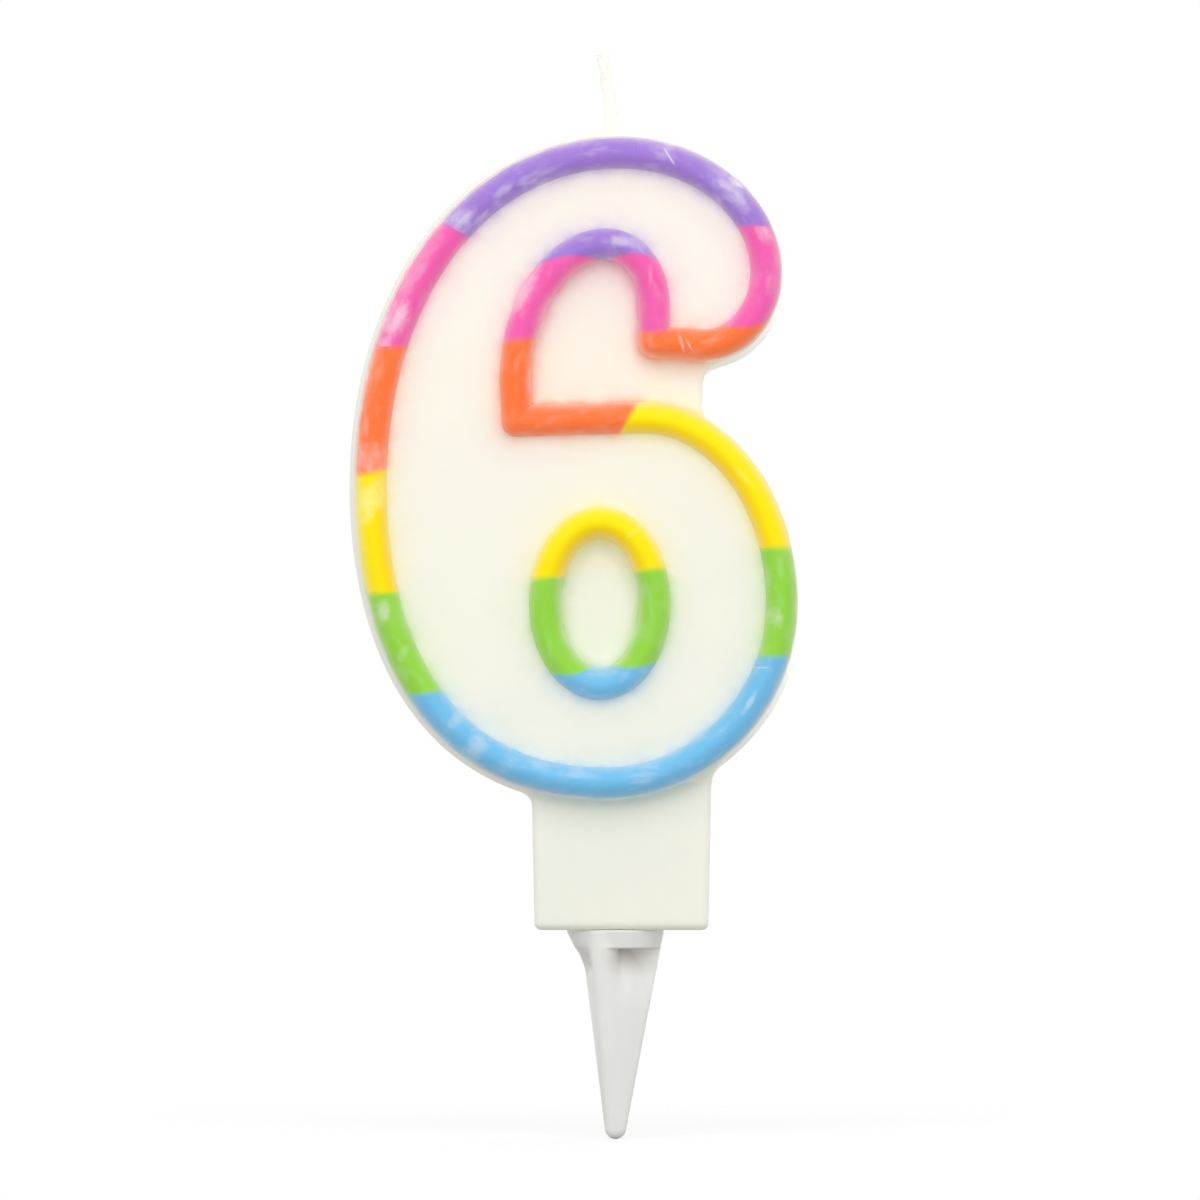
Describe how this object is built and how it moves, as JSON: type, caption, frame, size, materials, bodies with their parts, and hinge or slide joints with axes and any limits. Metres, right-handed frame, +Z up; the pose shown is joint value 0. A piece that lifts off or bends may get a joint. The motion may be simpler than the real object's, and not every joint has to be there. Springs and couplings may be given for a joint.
{
  "type": "number candle",
  "caption": "Wax birthday candle shaped as the numeral 6, with a white body, a rounded edge bead in rainbow bands, closed counters, a neck, a cotton wick and a plastic pick.",
  "frame": {"origin": "on the pick's axis, at the underside of the neck, where the candle rests on the icing", "axes": "+Z up along the pick towards the wick, -Y out of the face of the numeral, +X to the right of someone who reads it"},
  "size_m": [0.0524, 0.0133, 0.1252],
  "materials": {
    "wax_white": "cream-white cast wax, soft satin sheen",
    "wax_purple": "purple wax, glossy",
    "wax_pink": "pink wax, glossy",
    "wax_orange": "orange wax, glossy",
    "wax_yellow": "yellow wax, glossy",
    "wax_green": "green wax, glossy",
    "wax_blue": "light blue wax, glossy",
    "wick_cotton": "waxed braided cotton, matt",
    "pick_plastic": "moulded white plastic, smooth"
  },
  "bodies": {
    "root": {"wax_body": "wax_white", "wick": "wick_cotton", "pick": "pick_plastic", "bead_yellow_bowl": "wax_yellow", "bead_green_right": "wax_green", "bead_blue_bottom": "wax_blue", "bead_green_left": "wax_green", "bead_yellow_left": "wax_yellow", "bead_orange_left": "wax_orange", "bead_pink_left": "wax_pink", "bead_purple_crown": "wax_purple", "bead_pink_hook": "wax_pink", "bead_orange_hook": "wax_orange", "bead_pink_leg": "wax_pink", "bead_purple_arch": "wax_purple", "bead_pink_arch": "wax_pink", "bead_orange_stem": "wax_orange", "oval_yellow": "wax_yellow", "oval_green_right": "wax_green", "oval_blue": "wax_blue", "oval_green_left": "wax_green"}
  },
  "joints": []
}
